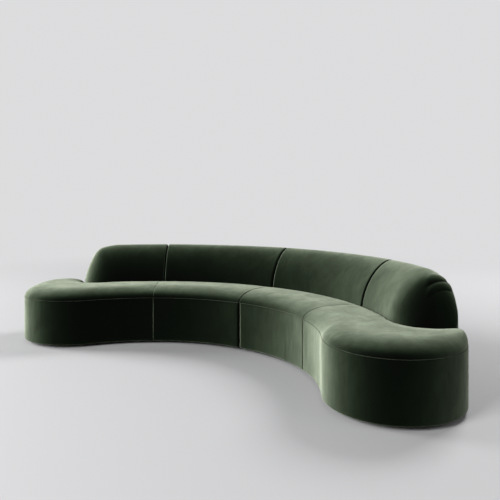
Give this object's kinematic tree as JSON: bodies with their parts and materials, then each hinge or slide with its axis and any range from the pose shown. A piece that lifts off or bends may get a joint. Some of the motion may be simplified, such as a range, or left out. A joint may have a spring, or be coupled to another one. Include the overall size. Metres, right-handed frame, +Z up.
{
  "type": "curved sofa",
  "caption": "Crescent sofa in dark green velvet with rounded ends, crowned seat and a low curved back, made as two halves that join at the middle.",
  "frame": {"origin": "on the floor, under the middle of the sofa's bounding box", "axes": "+X runs along the sofa's length, towards its right end as seen from the front, +Y points to the back, +Z is up"},
  "size_m": [3.5484, 1.6108, 0.727],
  "materials": {
    "velvet": "matte",
    "foam": "matte",
    "plywood": "matte",
    "webbing": "matte",
    "dust_cloth": "matte",
    "glide_plastic": "satin",
    "steel": "satin"
  },
  "bodies": {
    "left_half": {"left_dust_cover": "dust_cloth", "left_bottom_board": "plywood", "left_front_wall": "plywood", "left_rear_wall": "plywood", "left_end_wall": "plywood", "left_centre_bulkhead": "plywood", "left_seam_rib": "plywood", "left_deck_board": "plywood", "left_seat_webbing": "webbing", "left_glide_front_centre": "glide_plastic", "left_glide_rear_centre": "glide_plastic", "left_glide_rear_middle": "glide_plastic", "left_glide_front_end": "glide_plastic", "left_glide_rear_end": "glide_plastic", "left_side_cover_middle": "velvet", "left_side_cover_end": "velvet", "left_seat_foam_middle": "foam", "left_seat_foam_end": "foam", "left_seat_cover_middle": "velvet", "left_seat_cover_end": "velvet", "left_back_bracket_middle": "steel", "left_back_bracket_end": "steel", "left_back_frame_middle": "plywood", "left_back_frame_end": "plywood", "left_back_foam_middle": "foam", "left_back_foam_end": "foam", "left_back_cover_middle": "velvet", "left_back_cover_end": "velvet", "connector_jaw_front": "steel", "connector_jaw_rear": "steel"},
    "right_half": {"right_dust_cover": "dust_cloth", "right_bottom_board": "plywood", "right_front_wall": "plywood", "right_rear_wall": "plywood", "right_end_wall": "plywood", "right_centre_bulkhead": "plywood", "right_seam_rib": "plywood", "right_deck_board": "plywood", "right_seat_webbing": "webbing", "right_glide_front_centre": "glide_plastic", "right_glide_rear_centre": "glide_plastic", "right_glide_rear_middle": "glide_plastic", "right_glide_front_end": "glide_plastic", "right_glide_rear_end": "glide_plastic", "right_side_cover_middle": "velvet", "right_side_cover_end": "velvet", "right_seat_foam_middle": "foam", "right_seat_foam_end": "foam", "right_seat_cover_middle": "velvet", "right_seat_cover_end": "velvet", "right_back_bracket_middle": "steel", "right_back_bracket_end": "steel", "right_back_frame_middle": "plywood", "right_back_frame_end": "plywood", "right_back_foam_middle": "foam", "right_back_foam_end": "foam", "right_back_cover_middle": "velvet", "right_back_cover_end": "velvet", "connector_tongue_front": "steel", "connector_tongue_rear": "steel"}
  },
  "joints": [
    {"name": "right_half_slide", "type": "slide", "parent": "left_half", "child": "right_half", "axis": [1, 0, 0], "range_m": [0, 0.3]}
  ]
}
